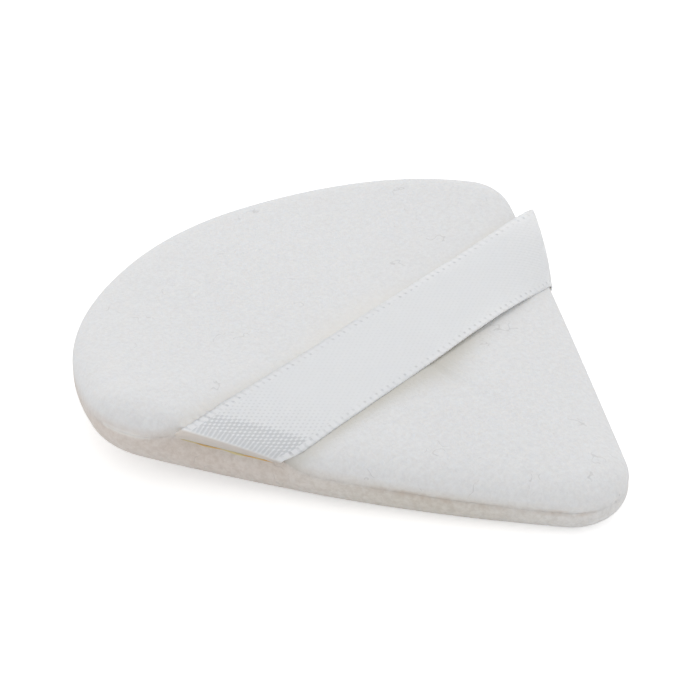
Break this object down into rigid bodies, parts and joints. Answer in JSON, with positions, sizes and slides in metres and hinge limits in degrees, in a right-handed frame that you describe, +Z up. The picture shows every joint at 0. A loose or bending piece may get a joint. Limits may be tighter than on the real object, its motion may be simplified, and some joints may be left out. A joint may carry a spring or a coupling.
{
  "type": "powder puff",
  "caption": "Wedge-shaped white velour powder puff over a foam pad, with an edge seam and a satin ribbon across the top that lifts for the fingers.",
  "frame": {"origin": "under the middle of the outline, on the surface that the powder face lies on", "axes": "+Z up away from the powder face, -Y towards the tip, X along the ribbon"},
  "size_m": [0.0698, 0.0776, 0.0116],
  "materials": {
    "velour": "matte",
    "satin": "satin",
    "foam": "matte",
    "thread": "satin",
    "glue": "satin"
  },
  "bodies": {
    "pad": {"base_cover": "velour", "top_cover": "velour", "foam_core": "foam", "seam_thread": "thread", "ribbon_left_leg": "satin", "ribbon_right_leg": "satin", "glue_line_left": "glue", "glue_line_right": "glue"},
    "finger_band": {"ribbon_band": "satin"}
  },
  "joints": [
    {"name": "band_lift", "type": "slide", "parent": "pad", "child": "finger_band", "axis": [0, 0, 1], "range_m": [0, 0.007], "deforming": ["ribbon_left_leg", "ribbon_right_leg"]}
  ]
}
